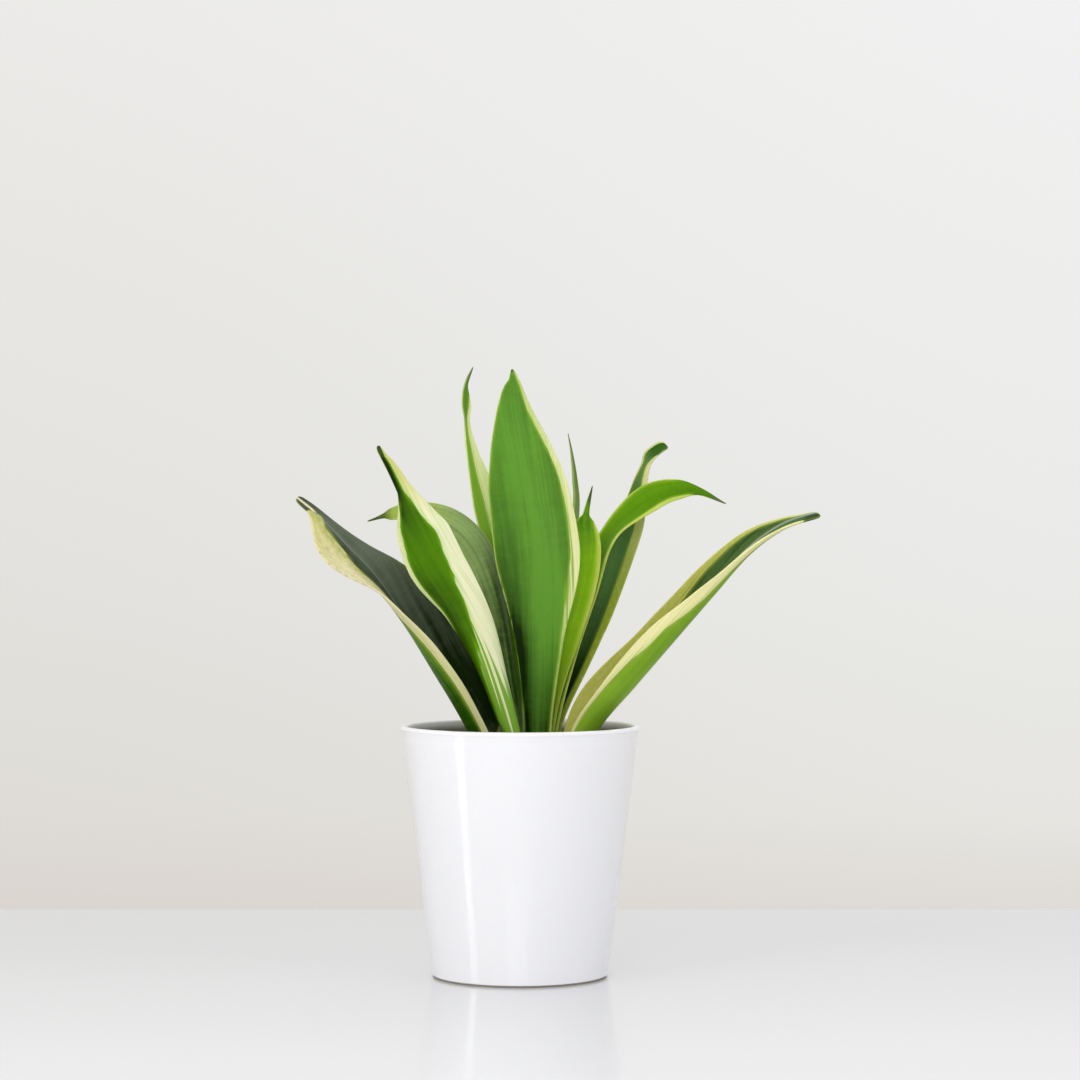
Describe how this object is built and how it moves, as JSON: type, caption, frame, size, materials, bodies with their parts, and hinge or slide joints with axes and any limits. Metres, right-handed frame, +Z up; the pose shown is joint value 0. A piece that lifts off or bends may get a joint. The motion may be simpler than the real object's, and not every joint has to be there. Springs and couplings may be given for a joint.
{
  "type": "potted snake plant",
  "caption": "Young snake plant with cream-edged sword leaves fanning out of a plain white glazed tapered cup pot, filled with soil.",
  "frame": {"origin": "centre of the pot's flat base, on the surface that the pot stands on", "axes": "+Z is up, along the pot's axis and the longest extent; -Y is the front, where the tall middle leaf shows its face; +X is to the right as seen from the front"},
  "size_m": [0.2557, 0.12, 0.3073],
  "materials": {
    "white_glaze": "gloss",
    "potting_soil": "matte",
    "rhizome": "matte",
    "leaf": "satin"
  },
  "bodies": {
    "root": {"pot": "white_glaze", "soil": "potting_soil", "rhizome": "rhizome", "leaf_center_tall": "leaf", "leaf_back_slender": "leaf", "leaf_left_twisted": "leaf", "leaf_left_drooping": "leaf", "leaf_left_outer": "leaf", "leaf_back_sliver": "leaf", "leaf_center_short": "leaf", "leaf_right_drooping": "leaf", "leaf_right_upright": "leaf", "leaf_right_outer": "leaf"}
  },
  "joints": []
}
